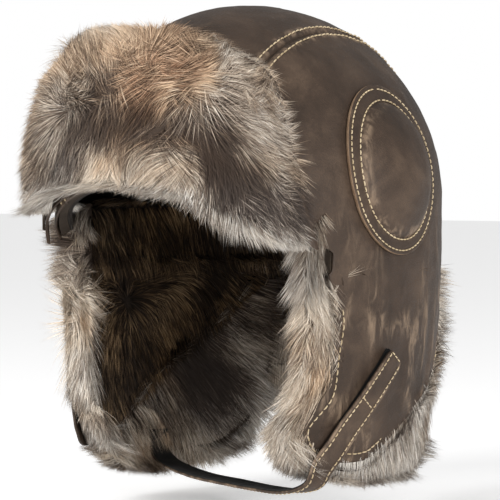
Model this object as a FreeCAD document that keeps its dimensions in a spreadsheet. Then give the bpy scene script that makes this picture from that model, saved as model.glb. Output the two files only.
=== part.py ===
import FreeCAD, Part
import math
import os
import re

os.makedirs("parts", exist_ok=True)

# A winter trapper hat: a padded leather crown with a centre panel and two side panels, padded
# oval ear discs, a turned-up fur visor, two ear flaps, a short neck flap and a chin strap.
# +X is the wearer's left, the face looks along -Y and +Z is up. The origin is the middle of the
# head opening at brow level, where the outside of the hat is widest.

DIMENSIONS = {
    "half_width": (101, "outside of the crown, from the middle to the side"),
    "half_length": (128, "outside of the crown, from the middle to the brow or the nape"),
    "crown_height": (112, "from brow level to the top"),
    "skirt_radius": (300, "upright radius of the part below brow level"),
    "leather": (1.6, "shell leather"),
    "gap": (0.15, "between two layers"),
    "wadding": (4.8, "quilted wadding of the crown"),
    "satin": (0.9, "crown lining"),
    "band_leather": (1.4, "sweatband"),
    "band_fur": (9, "fur band inside the crown"),
    "flap_fur": (9.5, "fur lining of a flap"),
    "panel_half": (51, "half the width of the centre panel"),
    "seam_clear": (0.1, "from a seam's middle to each panel"),
    "thread": (0.8, "width of a row of stitches"),
    "thread_rise": (0.45, "how far a row of stitches stands up"),
    "thread_clear": (0.05, "from a row of stitches to the leather"),
    "row_offset": (3, "from a seam to its rows of stitches"),
    "fold_drop": (36, "from brow level down to the fold of the flaps"),
    "fold_clear": (1, "from the crown's lower edge to a flap"),
    "temple": (58, "from the middle forward to the front edge of a side panel"),
    "brow_drop": (75, "from brow level down to the middle of the brow arch"),
    "brow_width": (112, "half width of the brow arch"),
    "brow_rise": (85, "height of the brow arch"),
    "disc_forward": (5, "from the middle forward to an ear disc"),
    "disc_up": (17, "from brow level up to the middle of an ear disc"),
    "disc_tall": (46, "half height of an ear disc"),
    "disc_wide": (42, "half width of an ear disc"),
    "disc_leather": (1.8, "leather of an ear disc"),
    "pad_tall": (36, "half height of the pad's ellipsoid"),
    "pad_wide": (33, "half width of the pad's ellipsoid"),
    "pad_deep": (18, "half depth of the pad's ellipsoid"),
    "pad_inset": (12, "from the side of the crown in to the middle of the pad's ellipsoid"),
    "disc_turn": (2, "degrees that a pad faces forward"),
    "disc_tilt": (8.7, "degrees that a pad faces up"),
    "disc_row_outer": (1.6, "from a disc's edge to its outer row of stitches"),
    "disc_row_inner": (7.6, "from a disc's edge to its inner row of stitches"),
    "sweatband_tall": (26, "height of the sweatband above the brow"),
    "visor_clear": (1, "from the crown to the turned-up visor"),
    "visor_flare": (6, "how much further the visor's ends stand off, so that it can fold down"),
    "visor_lift": (1, "from the brow arch up to the visor's lower edge"),
    "visor_radius": (170, "upright radius of the visor"),
    "visor_leather": (1.4, "leather back of the visor"),
    "stiffener": (1.5, "stiffener inside the visor"),
    "visor_fur": (13, "fur face of the visor"),
    "visor_edge": (3, "from the stiffener's edge to the visor's edge"),
    "trim_in": (12, "how far the neck flap's fur edge covers its inside"),
    "flap_row": (4.5, "from a flap's edge to its stitches"),
    "neck_half": (50, "half width of the neck flap"),
    "neck_clear": (1.5, "from the neck flap to an ear flap"),
    "neck_drop": (84, "from brow level down to the neck flap's leather edge"),
    "neck_trim": (20, "how far the neck flap's fur edge hangs below its leather"),
    "neck_front": (60, "from the middle back to where the neck flap's zone begins"),
    "strap_wide": (15, "width of the chin strap"),
    "strap_leather": (1.3, "leather face of the chin strap"),
    "strap_backing": (0.8, "backing of the chin strap"),
    "strap_row": (1.6, "from the strap's edge to its stitches"),
    "patch_wide": (12, "width of the hook and loop patches"),
    "patch_thick": (1, "thickness of each patch"),
    "patch_clear": (0.35, "from the hook patch to the loop patch"),
    "beyond": (160, "reach of the cutting solids"),
}

doc = FreeCAD.newDocument("trapper_hat")
sheet = doc.addObject("Spreadsheet::Sheet", "Dimensions")
for row, (alias, (value, note)) in enumerate(DIMENSIONS.items(), 1):
    sheet.set(f"A{row}", alias)
    sheet.set(f"B{row}", str(value))
    sheet.setAlias(f"B{row}", alias)
    sheet.set(f"C{row}", note)
doc.recompute()

pieces = []


def size(alias):
    """A driving dimension, in millimetres."""
    return float(sheet.get(alias))


def bind(ob, **formulas):
    """Tie properties of an object to formulas of dimension names."""
    for name, formula in formulas.items():
        path = name.replace("__", ".")
        ob.setExpression(path, re.sub(r"[a-z][a-z_]+", lambda m: "Dimensions." + m.group(), formula))
    return ob


def keep(ob, label):
    """Name an object as one of the hat's pieces."""
    ob.Label = label
    pieces.append(ob)
    return ob


def boolean(kind, name, first, second):
    """Part::Cut of second from first, or Part::Common or Part::Fuse of the two."""
    ob = doc.addObject("Part::" + kind, name)
    ob.Base = first
    ob.Tool = second
    return ob


def cut(name, first, second):
    return boolean("Cut", name, first, second)


def common(name, first, second):
    return boolean("Common", name, first, second)


def fuse(name, first, second):
    return boolean("Fuse", name, first, second)


def mirrored(source, label):
    """The same piece on the wearer's right."""
    ob = doc.addObject("Part::Mirroring", label)
    ob.Source = source
    ob.Base = FreeCAD.Vector(0, 0, 0)
    ob.Normal = FreeCAD.Vector(1, 0, 0)
    return keep(ob, label)


def both_sides(ob, label):
    """Keep a left piece and its mirrored right one."""
    keep(ob, "left_" + label)
    mirrored(ob, "right_" + label)


def half_ellipsoid(name, depth, rise, flare, upper):
    """Half of an ellipsoid about the origin, its radii reduced by a depth and its sides flared."""
    ob = doc.addObject("Part::Ellipsoid", name)
    ob.Angle1 = 0 if upper else -90
    ob.Angle2 = 90 if upper else 0
    return bind(
        ob,
        Radius1=f"{rise} - ({depth})",
        Radius2=f"half_width + {flare} - ({depth})",
        Radius3=f"half_length - ({depth})",
    )


def dome(name, depth, rise="crown_height", flare="0"):
    """The egg shape of the hat at a depth below its outside: one radius above the brow, one below."""
    top = half_ellipsoid(name + "_top", depth, rise, flare, True)
    skirt = half_ellipsoid(name + "_skirt", depth, "skirt_radius", flare, False)
    return fuse(name, top, skirt)


def box(name, low, high):
    """A box between two corners, each given as three formulas."""
    ob = doc.addObject("Part::Box", name)
    for axis, side, a, b in zip("xyz", ("Length", "Width", "Height"), low, high):
        bind(ob, **{side: f"({b}) - ({a})", "Placement__Base__" + axis: a})
    return ob


def oval(name, across, tall, forward, up):
    """An oval prism along X through the hat's left side."""
    ellipse = doc.addObject("Part::Ellipse", name + "_ellipse")
    bind(ellipse, MajorRadius=tall, MinorRadius=across)
    # the major radius turns from X to Z and the oval's own axis to X
    ellipse.Placement.Rotation = FreeCAD.Rotation(
        FreeCAD.Vector(0, 0, 1), FreeCAD.Vector(0, 1, 0), FreeCAD.Vector(1, 0, 0), "ZXY"
    )
    bind(ellipse, Placement__Base__y=forward, Placement__Base__z=up)
    return extruded(name, ellipse, (1, 0, 0))


def arch(name, across, tall, up):
    """An elliptic prism along -Y through the front of the hat, wider than it is tall."""
    ellipse = doc.addObject("Part::Ellipse", name + "_ellipse")
    bind(ellipse, MajorRadius=across, MinorRadius=tall)
    ellipse.Placement.Rotation = FreeCAD.Rotation(FreeCAD.Vector(1, 0, 0), 90)
    bind(ellipse, Placement__Base__z=up)
    return extruded(name, ellipse, (0, -1, 0))


def extruded(name, profile, direction):
    """A solid prism from a closed profile."""
    ob = doc.addObject("Part::Extrusion", name)
    ob.Base = profile
    ob.DirMode = "Custom"
    ob.Dir = FreeCAD.Vector(*direction)
    ob.Solid = True
    return bind(ob, LengthFwd="beyond")


# ---------------------------------------------------------------- shared cutting solids

def crown_zone():
    """Everything above the fold of the flaps, less the face opening below the brow arch."""
    above = box("above_fold", ("-beyond", "-beyond", "-fold_drop"), ("beyond", "beyond", "beyond"))
    opening = arch("brow_arch", "brow_width", "brow_rise", "-brow_drop")
    front = box("front_zone", ("-beyond", "-beyond", "-beyond"), ("beyond", "-temple", "beyond"))
    return cut("crown_zone", above, common("face_opening", opening, front))


def stitch_layer(name, leather):
    """The layer that rows of stitches stand in, on leather at a depth."""
    low = f"{leather} - thread_clear"
    outer = dome(name + "_thread_outside", low + " - thread_rise")
    return cut(name + "_thread_layer", outer, dome(name + "_thread_inside", low))


def slab(name, low, high, zone):
    """The part of a zone between two planes across X."""
    return common(
        name, zone, box(name + "_box", (low, "-beyond", "-beyond"), (high, "beyond", "beyond"))
    )


# ---------------------------------------------------------------- crown

def crown(outside, under_leather, zone):
    """Leather panels, wadding, lining, sweatband and fur band."""
    shell = common("leather_shell", cut("leather_layer", outside, under_leather), zone)
    edge = "panel_half - seam_clear"
    side = "panel_half + seam_clear"
    middle_zone = box(
        "middle_zone", ("-(" + edge + ")", "-beyond", "-beyond"), (edge, "beyond", "beyond")
    )
    left_zone = box("left_zone", (side, "-beyond", "-beyond"), ("beyond", "beyond", "beyond"))
    keep(common("centre_panel", shell, middle_zone), "crown_centre_panel")
    both_sides(common("side_panel", shell, left_zone), "crown_side_panel")

    rows = crown_rows(zone)
    keep(rows, "crown_seam_stitching")

    outer = "leather + gap"
    inner = outer + " + wadding"
    wadding = cut("wadding_layer", dome("wadding_outside", outer), dome("wadding_inside", inner))
    keep(common("wadding_shell", wadding, zone), "crown_wadding")

    outer = inner + " + gap"
    inner = outer + " + satin"
    satin = cut("satin_layer", dome("satin_outside", outer), dome("satin_inside", inner))
    keep(common("satin_shell", satin, zone), "crown_lining")

    outer = inner + " + gap"
    outside_band = dome("band_outside", outer)
    fur = cut("band_layer", outside_band, dome("band_inside", outer + " + band_fur"))
    low = box("below_brow", ("-beyond", "-temple", "-beyond"), ("beyond", "beyond", "0"))
    keep(common("fur_band", common("band_shell", fur, zone), low), "crown_fur_band")

    band = cut("sweatband_layer", outside_band, dome("sweatband_inside", outer + " + band_leather"))
    front = box("brow_zone", ("-beyond", "-beyond", "-beyond"), ("beyond", "-temple", "sweatband_tall"))
    keep(common("sweatband", common("sweatband_shell", band, zone), front), "sweatband")


def crown_rows(zone):
    """Four rows of stitches, two along each seam of the centre panel."""
    layer = common("row_layer", stitch_layer("crown", "0"), zone)
    rows = doc.addObject("Part::MultiFuse", "crown_rows")
    slabs = []
    for seam in ("-panel_half", "panel_half"):
        for offset in ("-row_offset", "row_offset"):
            middle = f"{seam} + ({offset})"
            number = len(slabs) + 1
            slabs.append(slab(f"row_{number}", f"{middle} - thread / 2", f"{middle} + thread / 2", layer))
    rows.Shapes = slabs
    return rows


def ear_disc(outside):
    """An oval leather patch, domed over a foam pad, and its two rings of stitches."""
    place = ("-disc_forward", "disc_up")
    patch_layer = cut("disc_skin", dome("disc_outside", "-gap - disc_leather"), outside)
    patch = common("disc_flat", patch_layer, oval("disc_oval", "disc_wide", "disc_tall", *place))

    def bulge(name, extra):
        ob = doc.addObject("Part::Ellipsoid", name)
        ob.Angle1 = -90
        ob.Angle2 = 90
        turn = FreeCAD.Rotation(FreeCAD.Vector(0, 0, 1), -size("disc_turn"))
        tilt = FreeCAD.Rotation(FreeCAD.Vector(0, 1, 0), -size("disc_tilt"))
        ob.Placement.Rotation = turn.multiply(tilt)
        return bind(
            ob,
            Radius1=f"pad_tall + ({extra})",
            Radius2=f"pad_deep + ({extra})",
            Radius3=f"pad_wide + ({extra})",
            Placement__Base__x="half_width - pad_inset",
            Placement__Base__y=place[0],
            Placement__Base__z=place[1],
        )

    foam = bulge("foam_bulge", "0")
    cover = cut("cover_bulge", bulge("leather_bulge", "disc_leather"), outside)
    leather = cut("disc_body", fuse("disc_all", patch, cover), bulge("foam_room", "gap"))
    both_sides(leather, "ear_disc_leather")
    both_sides(cut("disc_foam", foam, outside), "ear_disc_pad")

    rows = doc.addObject("Part::MultiFuse", "disc_rows")
    skin = stitch_layer("disc", "-gap - disc_leather")
    rings = []
    for row in ("disc_row_outer", "disc_row_inner"):
        outer = oval(row + "_large", f"disc_wide - {row}", f"disc_tall - {row}", *place)
        inner = oval(
            row + "_small", f"disc_wide - {row} - thread", f"disc_tall - {row} - thread", *place
        )
        rings.append(common(row + "_ring", cut(row + "_band", outer, inner), skin))
    rows.Shapes = rings
    both_sides(rows, "ear_disc_stitching")


# ---------------------------------------------------------------- visor

# The visor's outline seen from the front, as (across, up, corner radius).
VISOR_EDGE = [
    (92, -40, 0),
    (82, 24, 70),
    (70, 70, 30),
    (35, 95, 50),
    (-35, 95, 50),
    (-70, 70, 30),
    (-82, 24, 70),
    (-92, -40, 0),
]


def visor():
    """A half-moon of leather, stiffener and fur that stands up in front of the crown."""
    moon = cut(
        "visor_moon",
        outline_prism("visor_face", VISOR_EDGE, "XZ_Plane"),
        arch("visor_brow", "brow_width", "brow_rise", "visor_lift - brow_drop"),
    )
    inset = size("visor_edge")
    inner_moon = cut(
        "stiffener_moon",
        outline_prism("stiffener_face", moved_edge(VISOR_EDGE, -inset), "XZ_Plane"),
        arch("stiffener_brow", "brow_width + visor_edge", "brow_rise + visor_edge", "visor_lift - brow_drop"),
    )

    def moon_layer(label, inner, thick, zone):
        outer = dome(label + "_outside", f"{inner} - {thick}", "visor_radius", "visor_flare")
        inside = dome(label + "_inside", inner, "visor_radius", "visor_flare")
        layer = cut(label + "_layer", outer, inside)
        keep(common(label + "_moon", layer, zone), label)

    back = "-visor_clear"
    moon_layer("visor_leather_back", back, "visor_leather", moon)
    back += " - visor_leather - gap"
    moon_layer("visor_stiffener", back, "stiffener", inner_moon)
    back += " - stiffener - gap"
    moon_layer("visor_fur", back, "visor_fur", moon)


# ---------------------------------------------------------------- flaps

# The ear flap's leather edge seen from the side, as (back, up, corner radius) from the top front
# corner round the chin to the top rear corner.
EAR_FLAP_EDGE = [
    (-60, -37, 0),
    (-54, -62, 40),
    (-56, -100, 14),
    (-71, -120, 13),
    (-62, -138, 15),
    (-20, -141, 40),
    (66, -90, 30),
    (101, -58, 20),
    (116, -37, 0),
]
# The outer edge of the same flap's fur, which hangs lowest behind the jaw, and the edge of the
# fur lining inside the flap.
EAR_FLAP_FUR_EDGE = [
    (-69, -37, 0),
    (-63, -64, 40),
    (-65, -98, 14),
    (-77, -118, 16),
    (-64, -147, 25),
    (-20, -155, 40),
    (62, -150, 35),
    (100, -116, 30),
    (116, -70, 25),
    (116, -37, 0),
]
EAR_FLAP_LINING_EDGE = [
    (-47, -37, 0),
    (-42, -62, 40),
    (-43, -100, 25),
    (-53, -116, 8),
    (-48, -127, 8),
    (-20, -129, 30),
    (62, -76, 30),
    (92, -50, 15),
    (98, -37, 0),
]


def moved_edge(corners, out):
    """An outline moved out by a distance, except the level edge that closes it."""
    turning = 1 if signed_area(corners) > 0 else -1
    lines = []
    for (y1, z1, _), (y2, z2, _) in zip(corners, corners[1:]):
        along = math.hypot(y2 - y1, z2 - z1) * turning
        start = (y1 + (z2 - z1) / along * out, z1 - (y2 - y1) / along * out)
        lines.append((start, (y2 - y1, z2 - z1)))
    closing = (corners[0][:2], (1, 0))
    lines = [closing] + lines + [closing]
    moved = []
    for (point, along), (other, other_along), (_, _, radius) in zip(lines, lines[1:], corners):
        turn = along[0] * other_along[1] - along[1] * other_along[0]
        apart = (other[0] - point[0], other[1] - point[1])
        step = (apart[0] * other_along[1] - apart[1] * other_along[0]) / turn
        if radius:
            radius += out if turn * turning > 0 else -out
        moved.append((point[0] + along[0] * step, point[1] + along[1] * step, radius))
    return moved


def signed_area(corners):
    """Twice the area inside an outline, positive when it runs anticlockwise."""
    turned = corners[1:] + corners[:1]
    return sum(a[0] * b[1] - b[0] * a[1] for a, b in zip(corners, turned))


def rounded_outline(corners):
    """Lines and tangent arcs round a closed outline of (across, up, radius) corners."""
    vectors = [FreeCAD.Vector(a, b, 0) for a, b, _ in corners]
    starts, ends, arcs = [], [], []
    for n, (corner, (_, _, radius)) in enumerate(zip(vectors, corners)):
        before = (vectors[n - 1] - corner).normalize()
        after = (vectors[(n + 1) % len(vectors)] - corner).normalize()
        if not radius:
            starts.append(corner)
            ends.append(corner)
            continue
        half = math.acos(max(-1, min(1, before.dot(after)))) / 2
        reach = radius / math.tan(half)
        centre = corner + (before + after).normalize() * (radius / math.sin(half))
        middle = centre + (corner - centre).normalize() * radius
        starts.append(corner + before * reach)
        ends.append(corner + after * reach)
        arcs.append(Part.Arc(starts[-1], middle, ends[-1]))
    lines = []
    for n, end in enumerate(ends):
        lines.append(Part.LineSegment(end, starts[(n + 1) % len(starts)]))
    return lines + arcs


def outline_prism(name, corners, plane):
    """A PartDesign body: an outline sketched on an origin plane and padded."""
    body = doc.addObject("PartDesign::Body", name)
    sketch = body.newObject("Sketcher::SketchObject", name + "_sketch")
    support = next(f for f in body.Origin.OriginFeatures if f.Role == plane)
    sketch.AttachmentSupport = (support, [""])
    sketch.MapMode = "FlatFace"
    for curve in rounded_outline(corners):
        sketch.addGeometry(curve, False)
    pad = body.newObject("PartDesign::Pad", name + "_pad")
    pad.Profile = sketch
    bind(pad, Length="beyond")
    return body


def ear_flap(outside, under_leather):
    """Leather, fur lining, fur edge and stitches of an ear flap."""

    def prism(name, corners, out):
        return outline_prism(name, moved_edge(corners, out), "YZ_Plane")

    side = "neck_half + neck_clear"
    neck_zone = box("neck_zone", ("-beyond", "neck_front", "-beyond"), (side, "beyond", "beyond"))

    def trimmed(name, layer, zone):
        return cut(name, common(name + "_all", layer, zone), neck_zone)

    clear = 2 * size("gap")
    edge = prism("ear_flap_edge", EAR_FLAP_EDGE, 0)
    room_edge = prism("ear_flap_room_edge", EAR_FLAP_EDGE, clear)
    outer_edge = prism("ear_flap_outer_edge", EAR_FLAP_FUR_EDGE, 0)
    inner_edge = prism("ear_flap_inner_edge", EAR_FLAP_LINING_EDGE, 0)
    lining_edge = prism("ear_flap_lining_edge", EAR_FLAP_LINING_EDGE, -clear)

    leather = trimmed("ear_flap_skin", cut("ear_flap_layer", outside, under_leather), edge)
    both_sides(leather, "ear_flap_leather")

    under = "leather + gap"
    pile_outside = dome("pile_outside", under)
    pile_inside = dome("pile_inside", under + " + flap_fur")
    pile = cut("pile_layer", pile_outside, pile_inside)
    both_sides(trimmed("ear_flap_pile", pile, lining_edge), "ear_flap_fur_lining")

    ring = cut("ear_flap_ring", outer_edge, inner_edge)
    whole = trimmed("ear_flap_roll", cut("roll_layer", outside, pile_inside), ring)
    room = common("leather_room", cut("room_layer", dome("above_leather", "-gap"), pile_outside), room_edge)
    both_sides(cut("ear_flap_trim", whole, room), "ear_flap_fur_trim")

    row = size("flap_row")
    row_ring = cut(
        "ear_flap_row_ring",
        prism("ear_flap_row_outer", EAR_FLAP_EDGE, -row),
        prism("ear_flap_row_inner", EAR_FLAP_EDGE, -row - size("thread")),
    )
    below = box("row_zone", ("0", "-beyond", "-beyond"), ("beyond", "beyond", "-fold_drop - 2 * fold_clear"))
    stitches = trimmed("ear_flap_row", stitch_layer("ear_flap", "0"), common("ear_flap_row_zone", row_ring, below))
    both_sides(stitches, "ear_flap_stitching")


def neck_flap(outside, under_leather):
    """Leather, fur lining, fur edge and stitches of the short flap over the nape."""
    top = "-fold_drop - fold_clear"

    def zone(name, half, low, high):
        return box(name, (f"-({half})", "0", low), (half, "beyond", high))

    leather_zone = zone("neck_leather_zone", "neck_half", "-neck_drop", top)
    skin = common("neck_skin", cut("neck_layer", outside, under_leather), leather_zone)
    keep(skin, "neck_flap_leather")

    under = "leather + gap"
    pile_outside = dome("neck_pile_outside", under)
    pile_inside = dome("neck_pile_inside", under + " + flap_fur")
    split = "-neck_drop + trim_in"
    lining_zone = zone("neck_lining_zone", "neck_half", split + " + gap", top)
    lining = common("neck_pile", cut("neck_pile_layer", pile_outside, pile_inside), lining_zone)
    keep(lining, "neck_flap_fur_lining")

    trim_zone = zone("neck_trim_zone", "neck_half", "-neck_drop - neck_trim", split)
    whole = common("neck_roll", cut("neck_roll_layer", outside, pile_inside), trim_zone)
    room_zone = zone("neck_room_zone", "beyond", "-neck_drop - gap", "0")
    room = common("neck_room", cut("neck_room_layer", dome("above_neck", "-gap"), pile_outside), room_zone)
    keep(cut("neck_trim_body", whole, room), "neck_flap_fur_trim")

    low = "-neck_drop + flap_row"
    row_zone = zone("neck_row_zone", "neck_half - 1", low, low + " + thread")
    keep(common("neck_row", stitch_layer("neck", "0"), row_zone), "neck_flap_stitching")


# ---------------------------------------------------------------- chin strap

# The strap's route from its sewn end inside the right ear flap, under the chin and up the outside
# of the left ear flap: the middle of its inner face, then the way that the leather side faces.
STRAP_ROUTE = [
    ((-73, 13, -134), (-1, 0.1, -0.1)),
    ((-72.5, 12.5, -142), (-0.97, 0, -0.3)),
    ((-67, 9, -148.5), (-0.5, 0.1, -0.85)),
    ((-54, 1, -152), (-0.1, 0, -1)),
    ((-22, -19, -154), (-0.03, 0, -1)),
    ((10, -36, -154), (0.03, 0, -1)),
    ((40, -49, -154.3), (0.08, -0.05, -1)),
    ((62, -56.5, -153.6), (0.3, -0.1, -0.95)),
    ((76.5, -58.5, -149.5), (0.75, -0.2, -0.62)),
]
# (up, back) of the strap's middle where it lies on the left ear flap, from the chin up
STRAP_ON_FLAP = [(-140, -55), (-131, -49), (-120, -42), (-109, -33), (-97, -23), (-87, -14), (-82, -10)]


def flap_point(forward, up, out):
    """A point at a distance outside the left ear flap, and the way the flap faces there."""
    wide, long, tall = size("half_width"), size("half_length"), size("skirt_radius")
    across = wide * math.sqrt(1 - (forward / long) ** 2 - (up / tall) ** 2)
    facing = FreeCAD.Vector(across / wide**2, forward / long**2, up / tall**2).normalize()
    return FreeCAD.Vector(across, forward, up) + facing * out, facing


def strap_stations(out):
    """The strap's route as (point, facing) pairs, with its inner face a distance off the flap."""
    stations = []
    for point, facing in STRAP_ROUTE:
        stations.append((FreeCAD.Vector(*point), FreeCAD.Vector(*facing).normalize()))
    for up, forward in STRAP_ON_FLAP:
        stations.append(flap_point(forward, up, out))
    return stations


def ribbon(stations, low, high, left, right):
    """A solid band along stations, between two distances out of them and two across them."""
    wires = []
    for n, (point, facing) in enumerate(stations):
        before = stations[max(n - 1, 0)][0]
        after = stations[min(n + 1, len(stations) - 1)][0]
        along = (after - before).normalize()
        across = along.cross(facing).normalize()
        facing = across.cross(along).normalize()
        corners = []
        for out, side in ((low, left), (low, right), (high, right), (high, left)):
            corners.append(point + facing * out + across * side)
        wires.append(Part.makePolygon(corners + corners[:1]))
    return Part.makeLoft(wires, True, True)


def solid_feature(label, shape):
    """A kept piece whose shape is made here from the sheet's sizes."""
    ob = doc.addObject("Part::Feature", label)
    ob.Shape = shape
    ob.Placement = FreeCAD.Placement()
    return keep(ob, label)


def chin_strap():
    """Leather face, backing, stitches and hook patch of the strap, and the flap's loop patch."""
    clear = size("gap") + size("patch_thick") + size("patch_clear") + size("patch_thick")
    stations = strap_stations(clear + size("gap"))
    half = size("strap_wide") / 2
    backing = size("strap_backing")
    face = backing + size("gap") / 2
    top = face + size("strap_leather")
    solid_feature("chin_strap_backing", ribbon(stations, 0, backing, -half, half))
    solid_feature("chin_strap_leather", ribbon(stations, face, top, -half, half))

    edge = half - size("strap_row")
    low = top + size("thread_clear")
    high = low + size("thread_rise")
    rows = []
    for side in (-1, 1):
        near, far = sorted((side * edge, side * (edge - size("thread"))))
        rows.append(ribbon(stations[:-1], low, high, near, far))
    solid_feature("chin_strap_stitching", Part.makeCompound(rows))

    patch = size("patch_wide") / 2
    on_flap = stations[len(STRAP_ROUTE) + 2:]
    under = -size("gap")
    hook = ribbon(on_flap, under - size("patch_thick"), under, -patch, patch)
    solid_feature("strap_hook_patch", hook)
    loop_stations = strap_stations(size("gap"))[len(STRAP_ROUTE) + 2:]
    loop = ribbon(loop_stations, 0, size("patch_thick"), -patch, patch)
    solid_feature("strap_loop_patch", loop)


outside_dome = dome("outside", "0")
leather_dome = dome("under_leather", "leather")
crown(outside_dome, leather_dome, crown_zone())
ear_disc(dome("disc_seat", "-gap"))
visor()
ear_flap(outside_dome, leather_dome)
neck_flap(outside_dome, leather_dome)
chin_strap()
doc.recompute()

for ob in doc.Objects:
    if "Invalid" in ob.State or "Error" in ob.State:
        raise RuntimeError(f"{ob.Label} failed: {ob.State}")
for ob in pieces:
    if ob.Shape.isNull() or not ob.Shape.isValid() or not ob.Shape.Solids:
        raise RuntimeError(f"{ob.Label} has no valid solid")
for ob in pieces:
    ob.Shape.exportStep(f"parts/{ob.Label}.step")
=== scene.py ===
import math
import bpy
import numpy as np
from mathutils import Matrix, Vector


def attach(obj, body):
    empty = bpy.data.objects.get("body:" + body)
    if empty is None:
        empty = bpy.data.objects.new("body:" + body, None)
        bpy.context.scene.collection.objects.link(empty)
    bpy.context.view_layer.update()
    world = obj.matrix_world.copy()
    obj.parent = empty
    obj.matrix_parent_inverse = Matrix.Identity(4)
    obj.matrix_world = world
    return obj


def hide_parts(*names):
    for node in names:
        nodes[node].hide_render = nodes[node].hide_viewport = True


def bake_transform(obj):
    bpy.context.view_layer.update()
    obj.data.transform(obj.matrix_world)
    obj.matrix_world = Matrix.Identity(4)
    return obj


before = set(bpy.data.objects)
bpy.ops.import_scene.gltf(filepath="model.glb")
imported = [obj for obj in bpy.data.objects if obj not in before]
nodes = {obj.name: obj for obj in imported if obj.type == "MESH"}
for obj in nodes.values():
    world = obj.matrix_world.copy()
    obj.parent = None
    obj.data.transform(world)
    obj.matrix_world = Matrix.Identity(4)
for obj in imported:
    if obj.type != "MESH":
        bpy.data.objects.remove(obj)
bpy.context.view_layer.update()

MM = 0.001

# --- the hat's shape, in millimetres

HALF_WIDTH, HALF_LENGTH, CROWN, SKIRT = 101.0, 128.0, 112.0, 300.0
SEAM = 51.0
FOLD = -36.5
BROW_WIDTH, BROW_RISE, BROW_DROP = 112.0, 85.0, 75.0
TEMPLE = -58.0
NECK_DROP = -84.0
EAR_FLAP_EDGE = [
    (-60, -37, 0), (-54, -62, 40), (-56, -100, 14), (-71, -120, 13), (-62, -138, 15),
    (-20, -141, 40), (66, -90, 30), (101, -58, 20), (116, -37, 0),
]
DISC_Y, DISC_Z, DISC_WIDE, DISC_TALL = -5.0, 19.0, 42.0, 46.0


def rise_at(z):
    return np.where(z > 0, CROWN, SKIRT)


def across_at(y, z):
    """Half width of the hat's outside at (y, z), zero where it has none."""
    q = 1 - (y / HALF_LENGTH) ** 2 - (z / rise_at(z)) ** 2
    return HALF_WIDTH * np.sqrt(np.clip(q, 0, None))


def back_at(x, z):
    """How far back the hat's outside is at (x, z)."""
    q = 1 - (x / HALF_WIDTH) ** 2 - (z / rise_at(z)) ** 2
    return HALF_LENGTH * np.sqrt(np.clip(q, 0, None))


def facing(points):
    """Outward normals of the hat's egg shape through points."""
    rise = rise_at(points[:, 2])
    n = points / np.stack(
        [np.full(len(points), HALF_WIDTH**2), np.full(len(points), HALF_LENGTH**2), rise**2], 1
    )
    return n / np.maximum(np.linalg.norm(n, axis=1, keepdims=True), 1e-9)


def unit(v):
    return v / np.maximum(np.linalg.norm(v, axis=-1, keepdims=True), 1e-9)


def smooth(a, b, x):
    t = np.clip((x - a) / (b - a), 0, 1)
    return t * t * (3 - 2 * t)


def hashed(ix, iy, iz, seed):
    """A repeatable number from 0 to 1 for each lattice cell."""
    h = ix * 374761393 + iy * 668265263 + iz * 1274126177 + seed * 362437
    h = (h ^ (h >> 13)) * 1274126177 & 0x7FFFFFFF
    h = (h ^ (h >> 16)) * 668265263 & 0x7FFFFFFF
    return (h & 0xFFFFF) / 0xFFFFF


def wave_noise(points, size, seed):
    """Smooth noise from -1 to 1 that varies over a size in millimetres."""
    p = points / size + 1000.0
    cell = np.floor(p).astype(np.int64)
    f = p - cell
    f = f * f * (3 - 2 * f)
    total = np.zeros(len(points))
    for dx in (0, 1):
        for dy in (0, 1):
            for dz in (0, 1):
                weight = (
                    (f[:, 0] if dx else 1 - f[:, 0])
                    * (f[:, 1] if dy else 1 - f[:, 1])
                    * (f[:, 2] if dz else 1 - f[:, 2])
                )
                total += weight * hashed(cell[:, 0] + dx, cell[:, 1] + dy, cell[:, 2] + dz, seed)
    return total * 2 - 1


def noise_vector(points, size, seed):
    return np.stack([wave_noise(points, size, seed + k) for k in (0, 17, 41)], 1)


# --- materials

def new_material(name, roughness, specular=0.5):
    m = bpy.data.materials.new(name)
    m.use_nodes = True
    nt = m.node_tree
    shader = nt.nodes["Principled BSDF"]
    shader.inputs["Roughness"].default_value = roughness
    shader.inputs["Specular IOR Level"].default_value = specular
    return m, nt, shader


def ramp(nt, stops):
    r = nt.nodes.new("ShaderNodeValToRGB")
    elements = r.color_ramp.elements
    while len(elements) < len(stops):
        elements.new(0.5)
    for e, (pos, col) in zip(elements, stops):
        e.position = pos
        e.color = (*col, 1)
    return r


def noise_node(nt, vector, scale, detail=3, rough=0.5, distortion=0.0):
    n = nt.nodes.new("ShaderNodeTexNoise")
    n.inputs["Scale"].default_value = scale
    n.inputs["Detail"].default_value = detail
    n.inputs["Roughness"].default_value = rough
    n.inputs["Distortion"].default_value = distortion
    nt.links.new(vector, n.inputs["Vector"])
    return n.outputs["Fac"]


def mapped(nt, vector, scale):
    m = nt.nodes.new("ShaderNodeMapping")
    m.inputs["Scale"].default_value = scale
    nt.links.new(vector, m.inputs["Vector"])
    return m.outputs["Vector"]


def mix(nt, factor, a, b, kind="MIX"):
    """Colour mix; each input is a socket or a plain value."""
    n = nt.nodes.new("ShaderNodeMix")
    n.data_type = "RGBA"
    n.blend_type = kind
    for socket, value in ((n.inputs[0], factor), (n.inputs[6], a), (n.inputs[7], b)):
        if isinstance(value, bpy.types.NodeSocket):
            nt.links.new(value, socket)
        else:
            socket.default_value = value if isinstance(value, float) else (*value, 1)
    return n.outputs[2]


def maths(nt, kind, a, b=0.0, clamp=False):
    n = nt.nodes.new("ShaderNodeMath")
    n.operation = kind
    n.use_clamp = clamp
    for socket, value in zip(n.inputs, (a, b)):
        if isinstance(value, bpy.types.NodeSocket):
            nt.links.new(value, socket)
        else:
            socket.default_value = value
    return n.outputs[0]


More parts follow.
